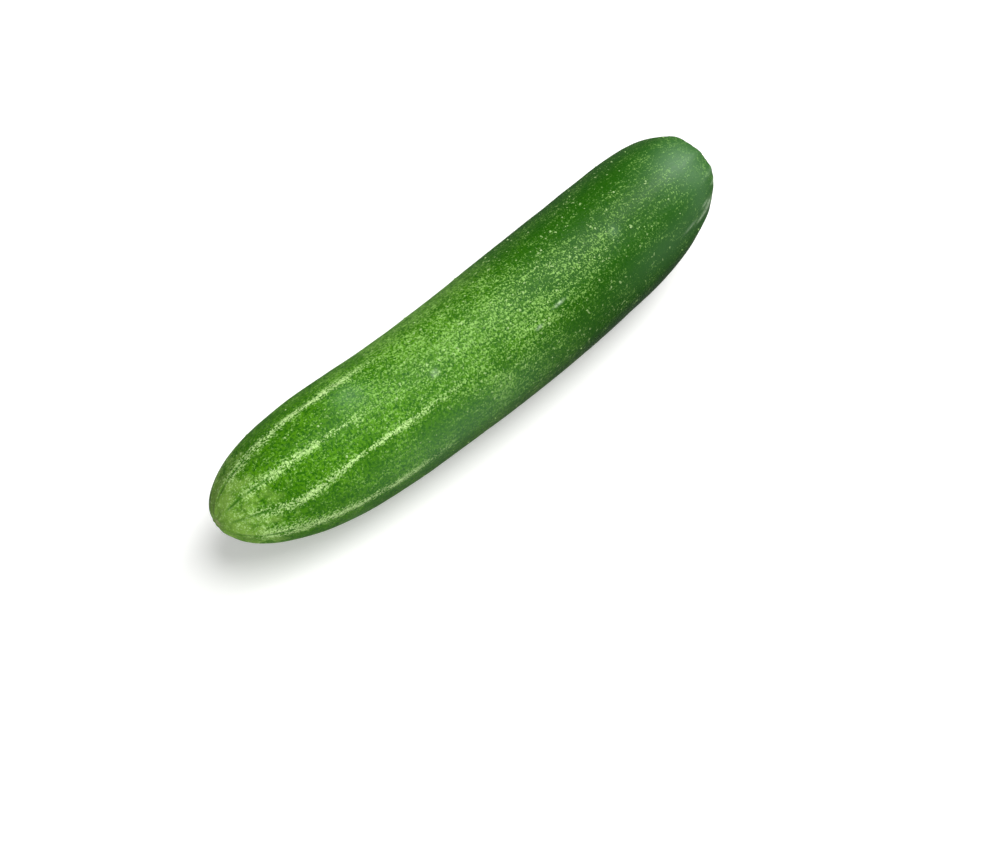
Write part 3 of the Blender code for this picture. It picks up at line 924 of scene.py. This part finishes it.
class CUCUMBER_OT_studio(bpy.types.Operator):
    """Lay the floor, hang the lights and set the camera"""
    bl_idname = "cucumber.studio"
    bl_label = "Studio"

    def execute(self, context):
        scene = context.scene
        studio = scene.cucumber_studio
        self.lay_floor(studio)
        self.add_sun("key_light", studio.key_strength, studio.key_spread, Vector(studio.key_way))
        self.add_sun("window_light", studio.window_strength, studio.window_spread,
                     Vector(studio.window_way))
        self.add_card(studio, Vector(studio.card_place), Vector(studio.card_target))
        sky = bpy.data.worlds.new("even_sky")
        sky.use_nodes = True
        sky.node_tree.nodes["Background"].inputs["Color"].default_value = (*studio.sky_white, 1)
        sky.node_tree.nodes["Background"].inputs["Strength"].default_value = studio.sky_strength
        scene.world = sky
        scene.view_settings.view_transform = 'Standard'
        self.set_camera(scene, studio)
        return {'FINISHED'}

    @staticmethod
    def lay_floor(studio):
        bm = bmesh.new()
        bmesh.ops.create_grid(bm, x_segments=8, y_segments=8, size=studio.floor_size,
                              matrix=Matrix.Translation((0, 0, -studio.floor_drop)))
        mesh = bpy.data.meshes.new("floor")
        bm.to_mesh(mesh)
        bm.free()
        mesh.materials.append(backlit_white_acrylic(studio))
        floor = bpy.data.objects.new("floor", mesh)
        bpy.context.scene.collection.objects.link(floor)
        # The floor is seen, but throws no light back up, as if black cards stood round the fruit
        floor.visible_diffuse = False
        floor.visible_glossy = False

    @staticmethod
    def add_sun(name, strength, spread, towards):
        """A soft light far away. A wide spread makes soft shadows and broad gloss."""
        light = bpy.data.lights.new(name, 'SUN')
        light.energy = strength
        light.angle = spread
        lamp = bpy.data.objects.new(name, light)
        lamp.rotation_mode = 'QUATERNION'
        lamp.rotation_quaternion = towards.to_track_quat('Z', 'Y')
        lamp.location = towards
        bpy.context.scene.collection.objects.link(lamp)

    @staticmethod
    def add_card(studio, place, target):
        """A lit white card, near enough to light the blossom end more than the stem end. The wax
        doesn't mirror it, or its edge would show."""
        light = bpy.data.lights.new("lit_card", 'AREA')
        light.energy = studio.card_strength
        light.size = studio.card_size
        lamp = bpy.data.objects.new("lit_card", light)
        lamp.rotation_mode = 'QUATERNION'
        lamp.rotation_quaternion = (place - target).to_track_quat('Z', 'Y')
        lamp.location = place
        lamp.visible_glossy = False
        bpy.context.scene.collection.objects.link(lamp)

    @staticmethod
    def set_camera(scene, studio):
        """Look down on the fruit from beyond its blossom end and its belly, aimed a little right of its
        middle and under it."""
        away = Vector((math.sin(studio.azimuth) * math.cos(studio.elevation),
                       -math.cos(studio.azimuth) * math.cos(studio.elevation),
                       math.sin(studio.elevation)))
        turned = away.to_track_quat('Z', 'Y')
        middle = (SOLID_BOX[0] + SOLID_BOX[1]) / 2
        place = middle + away * studio.distance
        aim = middle + turned @ Vector((studio.aim_right, -studio.aim_down, 0))
        lens = bpy.data.cameras.new("camera")
        lens.lens = studio.lens
        lens.clip_end = 20
        camera = bpy.data.objects.new("camera", lens)
        camera.rotation_mode = 'QUATERNION'
        camera.rotation_quaternion = (place - aim).to_track_quat('Z', 'Y')
        camera.location = place
        scene.collection.objects.link(camera)
        scene.camera = camera


class CUCUMBER_PT_sidebar(bpy.types.Panel):
    """Lists the cucumber's pieces, and the sizes and colours that they are made with"""
    bl_idname = "CUCUMBER_PT_sidebar"
    bl_label = "Cucumber"
    bl_space_type = 'VIEW_3D'
    bl_region_type = 'UI'
    bl_category = "Cucumber"

    def draw(self, context):
        for step in STEPS:
            self.layout.operator(step.bl_idname)
        for name, group in GROUPS.items():
            box = self.layout.box()
            for prop in group.__annotations__:
                box.prop(getattr(context.scene, name), prop)


GROUPS = {
    "cucumber_shape": CucumberShape,
    "cucumber_skin": CucumberSkin,
    "cucumber_details": CucumberDetails,
    "cucumber_studio": CucumberStudio,
}
STEPS = (CUCUMBER_OT_fruit, CUCUMBER_OT_stalk, CUCUMBER_OT_scar, CUCUMBER_OT_bumps, CUCUMBER_OT_studio)
CLASSES = (*GROUPS.values(), *STEPS, CUCUMBER_PT_sidebar)


def register():
    for kind in CLASSES:
        bpy.utils.register_class(kind)
    for name, group in GROUPS.items():
        setattr(bpy.types.Scene, name, PointerProperty(type=group))


def unregister():
    for name in GROUPS:
        delattr(bpy.types.Scene, name)
    for kind in reversed(CLASSES):
        bpy.utils.unregister_class(kind)


def main():
    register()
    bpy.ops.cucumber.fruit()
    bpy.ops.cucumber.stalk()
    bpy.ops.cucumber.scar()
    bpy.ops.cucumber.bumps()
    bpy.ops.cucumber.studio()


if __name__ == "__main__":
    main()
